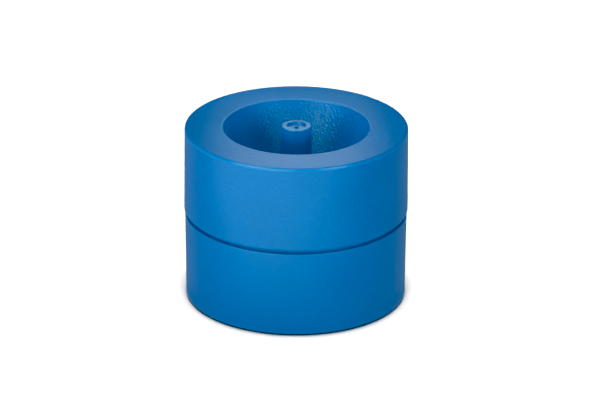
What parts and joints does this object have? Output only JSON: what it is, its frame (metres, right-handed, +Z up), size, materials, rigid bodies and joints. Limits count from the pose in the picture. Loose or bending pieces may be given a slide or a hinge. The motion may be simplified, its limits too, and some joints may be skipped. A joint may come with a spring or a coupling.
{
  "type": "magnetic paper-clip dispenser",
  "caption": "Round moulded desk pot with a funnel in its lift-off cover and a post with a hidden magnet that offers up loose paper clips.",
  "frame": {"origin": "on the desk, under the middle of the pot", "axes": "+Z up along the pot's axis; the feet lie on the X and Y axes"},
  "size_m": [0.0734, 0.0734, 0.0591],
  "materials": {
    "moulded_blue": "fine spark-eroded grain",
    "plug_grey": "plain moulded",
    "magnet_plating": "nickel plated",
    "foot_rubber": "matt"
  },
  "bodies": {
    "base": {"base_pot": "moulded_blue", "magnet_post": "moulded_blue", "rod_magnet": "magnet_plating", "magnet_stem": "plug_grey", "rubber_foot_1": "foot_rubber", "rubber_foot_2": "foot_rubber", "rubber_foot_3": "foot_rubber", "rubber_foot_4": "foot_rubber"},
    "cover": {"top_cover": "moulded_blue"}
  },
  "joints": [
    {"name": "cover_lift", "type": "slide", "parent": "base", "child": "cover", "axis": [0, 0, 1], "range_m": [0, 0.045]}
  ]
}
